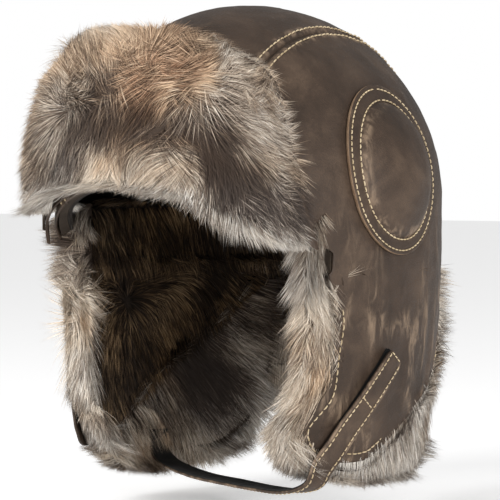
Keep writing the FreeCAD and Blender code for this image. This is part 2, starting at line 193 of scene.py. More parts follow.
def between(nt, value, low, high):
    n = nt.nodes.new("ShaderNodeMapRange")
    n.interpolation_type = "SMOOTHSTEP"
    n.inputs["From Min"].default_value = low
    n.inputs["From Max"].default_value = high
    nt.links.new(value, n.inputs["Value"])
    return n.outputs["Result"]


def bump(nt, shader, height, strength, distance):
    b = nt.nodes.new("ShaderNodeBump")
    b.inputs["Strength"].default_value = strength
    b.inputs["Distance"].default_value = distance
    nt.links.new(height, b.inputs["Height"])
    nt.links.new(b.outputs["Normal"], shader.inputs["Normal"])


def object_coords(nt):
    return nt.nodes.new("ShaderNodeTexCoord").outputs["Object"]


def attribute(nt, name, output="Fac"):
    a = nt.nodes.new("ShaderNodeAttribute")
    a.attribute_name = name
    return a.outputs[output]


def leather_material(name, dark, mid, light):
    """Waxed leather: cloudy colour, pale folds (rubbed wear and painted highlight on their ridges), fine grain."""
    m, nt, shader = new_material(name, 0.5, 0.28)
    at = object_coords(nt)
    cloud = noise_node(nt, at, 28, 4, 0.6, 0.4)
    base = ramp(nt, [(0.30, dark), (0.52, mid), (0.74, light)])
    nt.links.new(cloud, base.inputs["Fac"])
    fine = noise_node(nt, at, 900, 2, 0.7)
    speckle = ramp(nt, [(0.3, (0.72, 0.70, 0.68)), (0.7, (1.25, 1.25, 1.25))])
    nt.links.new(fine, speckle.inputs["Fac"])
    colour = mix(nt, 0.75, base.outputs["Color"], speckle.outputs["Color"], "MULTIPLY")
    # pale tan where the folds stand proud: partly rubbed wear, partly painted highlight on the fold ridges
    wear_and_highlight = between(nt, attribute(nt, "wear_and_highlight"), 0.15, 1.0)
    pale_streaks = noise_node(nt, mapped(nt, at, (1, 1, 0.35)), 160, 4, 0.65, 0.6)
    pale_streaks = between(nt, pale_streaks, 0.42, 0.68)
    rub_and_highlight = maths(nt, "MULTIPLY", wear_and_highlight, pale_streaks, True)
    rub_and_highlight = maths(nt, "MULTIPLY", rub_and_highlight, 0.85)
    colour = mix(nt, rub_and_highlight, colour, (0.235, 0.165, 0.11))
    nt.links.new(colour, shader.inputs["Base Color"])
    grain = nt.nodes.new("ShaderNodeTexVoronoi")
    grain.inputs["Scale"].default_value = 1100
    nt.links.new(at, grain.inputs["Vector"])
    height = maths(nt, "ADD", grain.outputs["Distance"], maths(nt, "MULTIPLY", cloud, 2.0))
    height = maths(nt, "ADD", height, maths(nt, "MULTIPLY", noise_node(nt, at, 240, 4, 0.6), 1.6))
    bump(nt, shader, height, 0.35, 0.00035)
    gloss = ramp(nt, [(0.35, (0.50, 0.50, 0.50)), (0.7, (0.72, 0.72, 0.72))])
    nt.links.new(fine, gloss.inputs["Fac"])
    nt.links.new(gloss.outputs["Color"], shader.inputs["Roughness"])
    return m


def cloth_material(name, colour, second, weave, roughness=0.8):
    """Plain woven or non-woven stuff in two shades."""
    m, nt, shader = new_material(name, roughness, 0.2)
    at = object_coords(nt)
    mottled = ramp(nt, [(0.35, colour), (0.65, second)])
    nt.links.new(noise_node(nt, at, 120, 4, 0.6), mottled.inputs["Fac"])
    nt.links.new(mottled.outputs["Color"], shader.inputs["Base Color"])
    wave = nt.nodes.new("ShaderNodeTexVoronoi")
    wave.inputs["Scale"].default_value = weave
    nt.links.new(at, wave.inputs["Vector"])
    bump(nt, shader, wave.outputs["Distance"], 0.5, 0.0003)
    return m


def fur_material(name, root, stops, tip_colour, tip_from, tint_stops):
    """Pile colour from the root's place on the hat, and from root to tip along each hair, with painted shade
    darkening each hair towards its root.
    """
    m, nt, shader = new_material(name, 0.62, 0.18)
    at = attribute(nt, "root_place", "Vector")
    along = attribute(nt, "along")
    luck = attribute(nt, "luck")
    patch = noise_node(nt, at, 26, 3, 0.55, 0.8)
    patch = maths(nt, "ADD", maths(nt, "MULTIPLY", maths(nt, "SUBTRACT", patch, 0.5), 1.5), 0.52)
    shift = maths(nt, "MULTIPLY", maths(nt, "SUBTRACT", luck, 0.5), 0.60)
    patch = maths(nt, "ADD", patch, shift, True)
    shade = maths(nt, "ADD", patch, attribute(nt, "shade"), True)
    body = ramp(nt, stops)
    nt.links.new(shade, body.inputs["Fac"])
    tint = ramp(nt, tint_stops)
    warm = noise_node(nt, mapped(nt, at, (1.0, 1.0, 1.2)), 17, 3, 0.5, 0.5)
    warm = maths(nt, "ADD", warm, attribute(nt, "warm"), True)
    nt.links.new(warm, tint.inputs["Fac"])
    colour = mix(nt, 1.0, body.outputs["Color"], tint.outputs["Color"], "MULTIPLY")
    tips = between(nt, along, tip_from, 1.0)
    tip_amount = ramp(nt, [(0.38, (0, 0, 0)), (0.62, (1, 1, 1))])
    speck = maths(nt, "ADD", noise_node(nt, at, 60, 2), maths(nt, "MULTIPLY", shift, 1.0), True)
    nt.links.new(speck, tip_amount.inputs["Fac"])
    tips = maths(nt, "MULTIPLY", tips, tip_amount.outputs["Color"], True)
    colour = mix(nt, maths(nt, "MULTIPLY", tips, 0.8), colour, tip_colour)
    # painted shade: each hair is darkened towards its root, deep in the pile
    deep = between(nt, along, 0.0, 0.55)
    colour = mix(nt, deep, root, colour)
    nt.links.new(colour, shader.inputs["Base Color"])
    return m


LEATHER = leather_material("brown_leather", (0.026, 0.016, 0.010), (0.046, 0.029, 0.019), (0.085, 0.056, 0.037))
RAW_EDGE = cloth_material("leather_raw_edge", (0.16, 0.10, 0.06), (0.24, 0.16, 0.10), 1400)
DARK_LEATHER = leather_material("dark_leather", (0.012, 0.009, 0.008), (0.02, 0.016, 0.013), (0.035, 0.028, 0.022))
THREAD = cloth_material("cream_thread", (0.42, 0.32, 0.19), (0.62, 0.50, 0.33), 2600, 0.6)
# painted shade: the wadding is coloured near black so that, where it shows through seams and edges, it reads as a
# shadowed gap
WADDING_PAINTED_DARK = cloth_material("wadding", (0.030, 0.022, 0.016), (0.045, 0.033, 0.024), 500, 0.95)
SATIN = cloth_material("dark_satin", (0.012, 0.011, 0.011), (0.022, 0.020, 0.020), 1800, 0.35)
# painted shade: the stiffener is dark brown so that its ends, where they show through the pile, read as shade
BOARD_PAINTED_DARK = cloth_material("stiffener_board", (0.05, 0.035, 0.025), (0.07, 0.05, 0.036), 400, 0.8)
WEBBING = cloth_material("black_webbing", (0.010, 0.010, 0.010), (0.022, 0.021, 0.020), 1500, 0.75)
TAPE = cloth_material("black_tape", (0.006, 0.006, 0.006), (0.014, 0.014, 0.014), 2200, 0.9)
# painted shade: the pile's underside is dark brown for the shade beneath the hairs
UNDERCOAT_PAINTED_DARK = cloth_material("fur_undercoat", (0.05, 0.036, 0.026), (0.09, 0.066, 0.048), 900, 1.0)
# painted shade: a darker copy of the undercoat, for the fur inside the hat, where shade falls
UNDERCOAT_IN_PAINTED_SHADE = cloth_material("lining_undercoat_in_painted_shade", (0.010, 0.007, 0.005), (0.022, 0.015, 0.010), 900, 1.0)

FUR = fur_material(
    "mixed_fur", (0.045, 0.030, 0.022),
    [(0.20, (0.055, 0.042, 0.036)), (0.36, (0.19, 0.145, 0.115)), (0.50, (0.44, 0.37, 0.31)),
     (0.66, (0.66, 0.59, 0.51)), (0.82, (0.80, 0.75, 0.69))],
    (0.035, 0.022, 0.017), 0.62,
    [(0.36, (0.96, 0.97, 0.97)), (0.54, (1.0, 0.93, 0.83)), (0.66, (0.98, 0.79, 0.60)), (0.80, (0.80, 0.50, 0.34))],
)
# painted shade: a darker copy of the fur, for the linings inside the hat, where shade falls
FUR_IN_PAINTED_SHADE = fur_material(
    "dark_fur", (0.006, 0.004, 0.003),
    [(0.30, (0.016, 0.011, 0.008)), (0.52, (0.045, 0.030, 0.019)), (0.70, (0.14, 0.095, 0.055)),
     (0.86, (0.32, 0.23, 0.14))],
    (0.02, 0.013, 0.009), 0.7,
    [(0.35, (1.0, 0.95, 0.9)), (0.65, (1.0, 0.85, 0.65))],
)


# --- mesh helpers

def add_object(name, verts, faces, material, body, smooth_faces=True, attributes=()):
    """A mesh from points in millimetres, riding on a body unless body is None."""
    me = bpy.data.meshes.new(name)
    me.from_pydata((np.asarray(verts) * MM).tolist(), [], faces)
    me.update()
    if smooth_faces:
        me.polygons.foreach_set("use_smooth", np.ones(len(me.polygons), bool))
    for m in material if isinstance(material, (list, tuple)) else [material]:
        me.materials.append(m)
    for attribute_name, kind, values in attributes:
        layer = me.attributes.new(attribute_name, kind, "POINT")
        key = "vector" if kind == "FLOAT_VECTOR" else "value"
        layer.data.foreach_set(key, np.asarray(values, np.float32).ravel())
    ob = bpy.data.objects.new(name, me)
    bpy.context.scene.collection.objects.link(ob)
    if body:
        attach(ob, body)
    return ob


def grid_faces(rows, columns, base=0, flip=False):
    i = np.arange((rows - 1) * (columns - 1))
    r, c = divmod(i, columns - 1)
    a = base + r * columns + c
    quads = np.stack([a, a + 1, a + columns + 1, a + columns], 1)
    return quads[:, ::-1] if flip else quads


def shell(outer, normals, thickness, rows, columns, flip=False):
    """A closed sheet: the outer grid, an inner grid a thickness below it and walls round the rim."""
    inner = outer - normals * thickness
    verts = np.concatenate([outer, inner])
    n = rows * columns
    faces = [grid_faces(rows, columns, 0, flip), grid_faces(rows, columns, n, not flip)]
    rim = (
        [c for c in range(columns)]
        + [r * columns + columns - 1 for r in range(1, rows)]
        + [(rows - 1) * columns + c for c in range(columns - 2, -1, -1)]
        + [r * columns for r in range(rows - 2, 0, -1)]
    )
    rim = np.array(rim)
    nxt = np.roll(rim, -1)
    walls = np.stack([nxt, rim, rim + n, nxt + n], 1)
    faces.append(walls[:, ::-1] if flip else walls)
    return verts, np.concatenate(faces).tolist()


def round_corners(corners, steps=7):
    """Points round an outline whose corners are rounded."""
    pts = [np.array(c[:2], float) for c in corners]
    out = []
    for k, (p, (_, _, radius)) in enumerate(zip(pts, corners)):
        if not radius:
            out.append(p)
            continue
        before, after = unit(pts[k - 1] - p), unit(pts[(k + 1) % len(pts)] - p)
        half = math.acos(max(-1.0, min(1.0, float(before @ after)))) / 2
        reach = radius / math.tan(half)
        a, b = p + before * reach, p + after * reach
        for i in range(steps + 1):
            t = i / steps
            out.append((1 - t) ** 2 * a + 2 * t * (1 - t) * p + t * t * b)
    return np.array(out)


FLAP_OUTLINE = round_corners(EAR_FLAP_EDGE)


def flap_span(z):
    """Front and rear edge of the ear flap's leather at a height."""
    z = min(z, -37.01)
    crossings = []
    for a, b in zip(FLAP_OUTLINE, FLAP_OUTLINE[1:]):
        if (a[1] - z) * (b[1] - z) <= 0 and a[1] != b[1]:
            crossings.append(a[0] + (b[0] - a[0]) * (z - a[1]) / (b[1] - a[1]))
    return min(crossings), max(crossings)


# --- leather skins

def leather_relief(points, normals):
    """Folds, puckers and how pale the folds are painted, for points of the leather skin: partly rubbed wear, partly
    painted highlight on the proud folds.
    """
    low = smooth(10, -90, points[:, 2])
    broad = wave_noise(points, 46, 3) * 1.1
    upright = points * np.array([1.0, 1.0, 0.30])
    folds = 1 - np.abs(wave_noise(upright, 13, 9)) * 2
    folds = np.clip(folds, -0.2, 1)
    creases = 1 - np.abs(wave_noise(points + noise_vector(points, 9, 70) * 4, 19, 23)) * 2.4
    creases = np.clip(creases, 0, 1)
    fine = wave_noise(points, 5.5, 31) * 0.16
    amount = broad * 0.7 + folds * 0.9 * low + creases * 0.25 + fine
    # wear and painted highlight: pale on the fold ridges and the creases
    wear_and_highlight = np.clip(folds, 0, 1) ** 2 * (0.15 + 0.85 * low) + creases * 0.28
    return points + normals * amount[:, None], wear_and_highlight


def seam_pucker(points, distance):
    """Ripples beside a seam, which die away over a few millimetres."""
    close = np.exp(-((distance / 7.0) ** 2))
    ripple = wave_noise(points * np.array([0.2, 1.0, 1.0]), 4.2, 55)
    dip = -1.3 * np.exp(-((distance / 1.4) ** 2))
    raised = 0.55 * np.exp(-(((distance - 3.2) / 2.0) ** 2))
    return dip + raised + ripple * 0.55 * close


def side_skin(side):
    """The side panel of the crown and the leather of the ear flap below it, as one sheet."""
    heights = []
    top = CROWN * math.sqrt(1 - (SEAM / HALF_WIDTH) ** 2)
    for k in range(72):
        heights.append(top * math.sin(math.radians(89.2 - k * 89.2 / 72)))
    heights += list(np.linspace(0, FOLD, 20))
    lowest = min(FLAP_OUTLINE[:, 1]) + 0.4
    heights += list(np.linspace(FOLD - 2, lowest, 56))
    columns = 120
    rows = []
    for z in heights:
        back = float(back_at(SEAM + 0.4, z))
        if z > FOLD:
            front = -back
            arch = 1 - ((z + BROW_DROP) / BROW_RISE) ** 2
            if arch > 0:
                x = BROW_WIDTH * math.sqrt(arch)
                front = max(front, -float(back_at(min(x, HALF_WIDTH), z)))
                if x > across_at(TEMPLE, z):
                    front = max(-back, min(front, TEMPLE)) if front < TEMPLE else TEMPLE
        else:
            front, rear = flap_span(z)
            back = min(back, rear)
        t = np.linspace(0, 1, columns)
        y = front + (back - front) * t
        rows.append(np.stack([across_at(y, z), y, np.full(columns, z)], 1))
    pts = np.concatenate(rows)
    normals = facing(pts)
    moved, wear_and_highlight = leather_relief(pts * np.array([side, 1, 1]), normals * np.array([side, 1, 1]))
    moved = moved * np.array([side, 1, 1])
    distance = np.abs(pts[:, 0] - SEAM) + 30 * smooth(-30, -45, pts[:, 2])
    pucker = seam_pucker(pts, distance)
    moved += normals * pucker[:, None]
    # pale on the raised ridge beside the seam: wear and painted highlight
    wear_and_highlight = wear_and_highlight + 0.9 * np.exp(-(((distance - 3.0) / 2.2) ** 2)) * smooth(-30, 20, pts[:, 2])
    # the disc is sewn flat on the skin, so the relief dies away under it
    inside = ((pts[:, 1] - DISC_Y) / (DISC_WIDE + 1)) ** 2 + ((pts[:, 2] - DISC_Z) / (DISC_TALL + 1)) ** 2
    flat = smooth(1.25, 0.95, inside)[:, None]
    moved = moved * (1 - flat) + (pts - normals * 0.6) * flat
    moved *= np.array([side, 1, 1])
    normals = normals * np.array([side, 1, 1])
    verts, faces = shell(moved, normals, 1.3, len(heights), columns, flip=side > 0)
    wear_and_highlight = np.concatenate([wear_and_highlight, wear_and_highlight * 0])
    name = "left" if side > 0 else "right"
    ob = add_object(name + "_side_leather", verts, faces, LEATHER, None, True, [("wear_and_highlight", "FLOAT", wear_and_highlight)])
    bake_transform(ob)
    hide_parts(name + "_crown_side_panel", name + "_ear_flap_leather")
    return ob


def centre_skin():
    """The centre panel of the crown and the leather of the neck flap, as one sheet."""
    columns = 64
    xs = np.linspace(-SEAM + 0.2, SEAM - 0.2, columns)
    lines = []
    for x in xs:
        q = math.sqrt(1 - (x / HALF_WIDTH) ** 2)
        arch = -BROW_DROP + BROW_RISE * math.sqrt(1 - (x / BROW_WIDTH) ** 2)
        start = math.asin(min(1, max(0.0, arch) / (CROWN * q)))
        turn = np.linspace(start, math.pi, 120)
        line = np.stack([np.full(120, x), -HALF_LENGTH * q * np.cos(turn), CROWN * q * np.sin(turn)], 1)
        z = np.concatenate([np.linspace(0, FOLD, 18)[1:], np.linspace(FOLD - 2, NECK_DROP, 24)])
        tail = np.stack([np.full(len(z), x), back_at(x, z), z], 1)
        lines.append(np.concatenate([line, tail]))
    pts = np.stack(lines, 1).reshape(-1, 3)
    normals = facing(pts)
    moved, wear_and_highlight = leather_relief(pts, normals)
    distance = SEAM - np.abs(pts[:, 0])
    distance = distance + 30 * smooth(-30, -45, pts[:, 2])
    moved += normals * seam_pucker(pts, distance)[:, None]
    # pale on the raised ridge beside the seam: wear and painted highlight
    wear_and_highlight = wear_and_highlight + 0.9 * np.exp(-(((distance - 3.0) / 2.2) ** 2)) * smooth(-30, 20, pts[:, 2])
    rows = len(lines[0])
    verts, faces = shell(moved, normals, 1.3, rows, columns, flip=False)
    wear_and_highlight = np.concatenate([wear_and_highlight, wear_and_highlight * 0])
    ob = add_object("centre_leather", verts, faces, LEATHER, None, True, [("wear_and_highlight", "FLOAT", wear_and_highlight)])
    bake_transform(ob)
    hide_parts("crown_centre_panel", "neck_flap_leather")
    return ob


# --- stitches

def stitch_mesh(paths, pitch=4.1, length=3.1, radius=0.42):
    """Rows of short thread stitches along (points, normals) paths."""
    verts, faces = [], []
    ring = 6
    for points, normals in paths:
        points, normals = np.asarray(points), unit(np.asarray(normals))
        gaps = np.linalg.norm(np.diff(points, axis=0), axis=1)
        run = np.concatenate([[0], np.cumsum(gaps)])
        total = run[-1]
        for k in range(int(total / pitch)):
            s = np.array([0, 0.12, 0.5, 0.88, 1]) * length + k * pitch + (pitch - length) / 2
            centre = np.stack([np.interp(s, run, points[:, i]) for i in range(3)], 1)
            out = unit(np.stack([np.interp(s, run, normals[:, i]) for i in range(3)], 1))
            centre = centre + out * np.array([-0.30, 0.10, 0.32, 0.10, -0.30])[:, None]
            along = unit(np.gradient(centre, axis=0))
            sidew = unit(np.cross(along, out))
            up = np.cross(sidew, along)
            base = len(verts)
            for j, wide in enumerate((0.45, 0.95, 1.0, 0.95, 0.45)):
                for a in range(ring):
                    turn = 2 * math.pi * a / ring
                    verts.append(centre[j] + (sidew[j] * math.cos(turn) + up[j] * math.sin(turn)) * radius * wide)
            for j in range(4):
                for a in range(ring):
                    p, q = base + j * ring + a, base + j * ring + (a + 1) % ring
                    faces.append((p, q, q + ring, p + ring))
            faces.append(tuple(base + a for a in range(ring))[::-1])
            faces.append(tuple(base + 4 * ring + a for a in range(ring)))
    return np.array(verts), faces


def sew(name, rows, body, node, *sizes):
    """Stitches along rows, in place of a CAD node of stitching."""
    verts, faces = stitch_mesh(rows, *sizes)
    ob = add_object(name, verts, faces, THREAD, body)
    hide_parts(node)
    return ob


def crown_seam_paths(x):
    """Points and normals along the crown at a constant distance across."""
    q = math.sqrt(1 - (x / HALF_WIDTH) ** 2)
    arch = -BROW_DROP + BROW_RISE * math.sqrt(1 - (x / BROW_WIDTH) ** 2)
    turn = np.linspace(math.asin(min(1, max(0.0, arch) / (CROWN * q))), math.pi, 300)
    line = np.stack([np.full(300, x), -HALF_LENGTH * q * np.cos(turn), CROWN * q * np.sin(turn)], 1)
    z = np.linspace(0, FOLD + 1.5, 40)[1:]
    tail = np.stack([np.full(len(z), x), back_at(x, z), z], 1)
    pts = np.concatenate([line, tail])
    return pts, facing(pts)


def all_stitches():
    rows = []
    for x in (-SEAM - 3.2, -SEAM + 3.2, SEAM - 3.2, SEAM + 3.2):
        pts, normals = crown_seam_paths(x)
        moved, _ = leather_relief(pts, normals)
        moved = moved + normals * seam_pucker(pts, np.full(len(pts), 3.2))[:, None]
        rows.append((moved + normals * 0.1, normals))
    sew("crown_seam_stitches", rows, "crown", "crown_seam_stitching")
    for side, name in ((1, "left"), (-1, "right")):
        flip = np.array([side, 1, 1])
        rings = []
        for inset in (2.2, 8.2):
            turn = np.linspace(0, 2 * math.pi, 200)
            y = DISC_Y + (DISC_WIDE - inset) * np.sin(turn)
            z = DISC_Z + (DISC_TALL - inset) * np.cos(turn)
            pts = np.stack([across_at(y, z), y, z], 1)
            normals = facing(pts)
            pts = pts + normals * (disc_height(y, z) + 0.1)[:, None]
            rings.append((pts * flip, normals * flip))
        sew(name + "_ear_disc_stitches", rings, "crown", name + "_ear_disc_stitching", 3.4, 2.6)

        edge = inset_outline(FLAP_OUTLINE, 5.0)
        keep = (edge[:, 1] < FOLD - 1) & (edge[:, 0] < 104)
        edge = edge[keep]
        pts = np.stack([across_at(edge[:, 0], edge[:, 1]), edge[:, 0], edge[:, 1]], 1)
        keep = pts[:, 0] > SEAM + 2
        pts = pts[keep]
        pts = resample(pts, 1.0)
        normals = facing(pts)
        moved, _ = leather_relief(pts * flip, normals * flip)
        rows = [(moved + normals * flip * 0.1, normals * flip)]
        ob = sew(name + "_ear_flap_stitches", rows, None, name + "_ear_flap_stitching")
        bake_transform(ob)

    x = np.linspace(-SEAM + 1.5, SEAM - 1.5, 90)
    z = np.full(90, NECK_DROP + 5)
    pts = np.stack([x, back_at(x, z), z], 1)
    normals = facing(pts)
    moved, _ = leather_relief(pts, normals)
    sew("neck_flap_stitches", [(moved + normals * 0.1, normals)], "neck_flap", "neck_flap_stitching")


def resample(points, step):
    run = np.concatenate([[0], np.cumsum(np.linalg.norm(np.diff(points, axis=0), axis=1))])
    s = np.arange(0, run[-1], step)
    return np.stack([np.interp(s, run, points[:, i]) for i in range(3)], 1)


def inset_outline(points, distance):
    """An open outline moved inwards, towards its middle."""
    along = unit(np.gradient(points, axis=0))
    inward = np.stack([-along[:, 1], along[:, 0]], 1)
    middle = points.mean(0)
    if ((middle - points) * inward).sum() < 0:
        inward = -inward
    return points + inward * distance


# --- ear discs

def disc_height(y, z):
    """How far the disc's outside stands off the crown at (y, z)."""
    rho = np.sqrt(((y - DISC_Y) / DISC_WIDE) ** 2 + ((z - DISC_Z) / DISC_TALL) ** 2)
    inner = 0.80
    bulge = np.clip(1 - (rho / inner) ** 2, 0, None) ** 0.75 * 7.6
    groove = -0.55 * np.exp(-(((rho - 0.805) / 0.022) ** 2)) - 0.45 * np.exp(-(((rho - 0.95) / 0.02) ** 2))
    return 2.0 + bulge + groove


def ear_disc(side):
    name = "left" if side > 0 else "right"
    spokes, rings = 120, 44
    rho = np.linspace(0.0, 1.0, rings) ** 0.85
    turn = np.linspace(0, 2 * math.pi, spokes, endpoint=False)
    verts = []
    for r in rho:
        y = DISC_Y + DISC_WIDE * r * np.sin(turn)
        z = DISC_Z + DISC_TALL * r * np.cos(turn)
        pts = np.stack([across_at(y, z), y, z], 1)
        normals = facing(pts)
        height = disc_height(y, z)
        relief = wave_noise(pts * np.array([side, 1, 1]), 17, 77) * 0.55 * (1 - r**4)
        relief += wave_noise(pts * np.array([side, 1, 1]), 5, 78) * 0.12
        verts.append(pts + normals * (height + relief)[:, None])
    top = len(verts)
    for r, h in ((1.006, 1.3), (1.004, 0.5), (1.0, -0.2)):
        y = DISC_Y + DISC_WIDE * r * np.sin(turn)
        z = DISC_Z + DISC_TALL * r * np.cos(turn)
        pts = np.stack([across_at(y, z), y, z], 1)
        verts.append(pts + facing(pts) * h)
    for r in (0.5, 0.0):
        y = DISC_Y + DISC_WIDE * r * np.sin(turn)
        z = DISC_Z + DISC_TALL * r * np.cos(turn)
        pts = np.stack([across_at(y, z), y, z], 1)
        verts.append(pts - facing(pts) * 0.2)
    verts = np.concatenate(verts)
    loops = len(verts) // spokes
    faces = []
    for r in range(loops - 1):
        for s in range(spokes):
            a, b = r * spokes + s, r * spokes + (s + 1) % spokes
            quad = (a, b, b + spokes, a + spokes)
            faces.append(quad if side < 0 else quad[::-1])
    rho_all = np.repeat(np.concatenate([rho, [1, 1, 1, 1, 1]]), spokes)
    # pale rings where the bulge rises and at the rim: wear and painted highlight
    wear_and_highlight = 0.75 * np.exp(-(((rho_all - 0.76) / 0.09) ** 2)) + 0.5 * np.exp(-(((rho_all - 0.99) / 0.03) ** 2))
    wear_and_highlight += 0.25 * wave_noise(verts, 14, 91)
    ob = add_object(name + "_ear_disc", verts * np.array([side, 1, 1]), faces, [LEATHER, RAW_EDGE], "crown", True,
                    [("wear_and_highlight", "FLOAT", np.clip(wear_and_highlight, 0, 1))])
    wall = np.zeros(len(faces), np.int32)
    wall[(top - 1) * spokes:(top + 2) * spokes] = 1
    ob.data.polygons.foreach_set("material_index", wall)
    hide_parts(name + "_ear_disc_leather", name + "_ear_disc_pad")


# --- fur

# outlines that the pile is trimmed to: the visor seen from the front (x, z), the ear flaps seen
# from the side (y, z), uneven from left to right
VISOR_TRIM = round_corners([
    (88, -24, 8), (84, 20, 60), (71, 68, 30), (34, 97, 40), (-32, 95, 40), (-64, 70, 34), (-79, 30, 50),
    (-71, 0, 18), (-62, -8, 10), (-50, 4, 30), (0, 12, 60), (50, 4, 30), (76, -22, 8),
])
LEFT_FLAP_TRIM = round_corners([
    (-68, -20, 5), (-64, -64, 40), (-64, -98, 14), (-75, -118, 16), (-62, -145, 22), (-20, -153, 40),
    (40, -154, 30), (84, -136, 30), (108, -108, 30), (125, -72, 25), (122, -20, 5),
])
RIGHT_FLAP_TRIM = round_corners([
    (-68, -20, 5), (-66, -64, 40), (-66, -98, 14), (-71, -117, 16), (-54, -136, 14), (-37, -144, 20),
    (-18, -153, 30), (10, -160, 30), (50, -161, 30), (85, -149, 30), (105, -121, 30), (123, -72, 25), (122, -20, 5),
])
FLAP_TRIM = LEFT_FLAP_TRIM


def outside_by(points, outline):
    """How far points lie outside a closed outline (negative inside), and the way out of it."""
    a, b = outline, np.roll(outline, -1, axis=0)
    best = np.full(len(points), 1e9)
    way = np.zeros((len(points), 2))
    inside = np.zeros(len(points), bool)
    for p, q in zip(a, b):
        edge = q - p
        t = np.clip(((points - p) @ edge) / max(edge @ edge, 1e-9), 0, 1)
        gap = points - (p + t[:, None] * edge)
        distance = np.linalg.norm(gap, axis=1)
        near = distance < best
        best[near], way[near] = distance[near], gap[near]
        crosses = (p[1] > points[:, 1]) != (q[1] > points[:, 1])
        if abs(q[1] - p[1]) > 1e-9:
            where = p[0] + (points[:, 1] - p[1]) * (q[0] - p[0]) / (q[1] - p[1])
            inside ^= crosses & (points[:, 0] < where)
    sign = np.where(inside, -1.0, 1.0)
    return best * sign, unit(way) * sign[:, None]


def trimmed_to(points, outline, axes, slack):
    """Points drawn back to an outline, seen along one axis, where they pass it by more than a slack."""
    over, way = outside_by(points[:, axes], outline)
    back = np.clip(over - slack, 0, None)
    moved = points.copy()
    moved[:, axes] -= way * back[:, None]
    return moved


# no hair reaches further forward (y) than this
FRONT_LIMIT = -159.0


def off_the_leather(points, side):
    """Points over an ear flap's leather moved to just outside its edge."""
    y, z = points[:, 1], points[:, 2]
    out = points[:, 0] * side - across_at(y, z)
    over, _ = outside_by(points[:, 1:3], FLAP_OUTLINE)
    on_top = (over < 1.0) & (out > -3.0) & (z < -36)
    moved = points.copy()
    moved[on_top, 0] -= side * (np.clip(out, -3.0, None)[on_top] + 3.0)
    return moved


def cad_triangles(name):
    """Corners and normals of a CAD node's triangles, in millimetres."""
    me = nodes[name].data
    me.calc_loop_triangles()
    co = np.empty(len(me.vertices) * 3)
    me.vertices.foreach_get("co", co)
    co = co.reshape(-1, 3) / MM
    tri = np.empty(len(me.loop_triangles) * 3, np.int32)
    me.loop_triangles.foreach_get("vertices", tri)
    corners = co[tri.reshape(-1, 3)]
    cross = np.cross(corners[:, 1] - corners[:, 0], corners[:, 2] - corners[:, 0])
    area = np.linalg.norm(cross, axis=1) / 2
    return corners, unit(cross), area


def undercoat(node, depth, material, body, outline=None, axes=None):
    """The pile's short dense underside: the CAD solid drawn in by a depth."""
    corners, normals, _ = cad_triangles(node)
    flat = corners.reshape(-1, 3)
    key = np.round(flat * 50).astype(np.int64)
    _, first, inverse = np.unique(key, axis=0, return_index=True, return_inverse=True)
    inverse = inverse.ravel()
    # each distinct face direction at a corner counts once, so that a wall pulls as hard as a face
    total = np.zeros((len(first), 3))
    seen = {}
    directions = np.repeat(np.round(normals * 6) / 6, 3, axis=0)
    exact = np.repeat(normals, 3, axis=0)
    for v, d, n in zip(inverse, map(tuple, directions), exact):
        if (v, d) not in seen:
            seen[(v, d)] = True
            total[v] += n
    length = np.linalg.norm(total, axis=1, keepdims=True)
    pull = unit(total) * np.clip(np.sqrt(length), 1, 1.5)
    verts = flat[first] - pull * depth
    if outline is not None:
        verts = trimmed_to(verts, outline, axes, -5.0)
    tris = inverse.reshape(-1, 3)
    good = (tris[:, 0] != tris[:, 1]) & (tris[:, 1] != tris[:, 2]) & (tris[:, 0] != tris[:, 2])
    ob = add_object(node + "_undercoat", verts, tris[good].tolist(), material, body)
    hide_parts(node)
    return ob


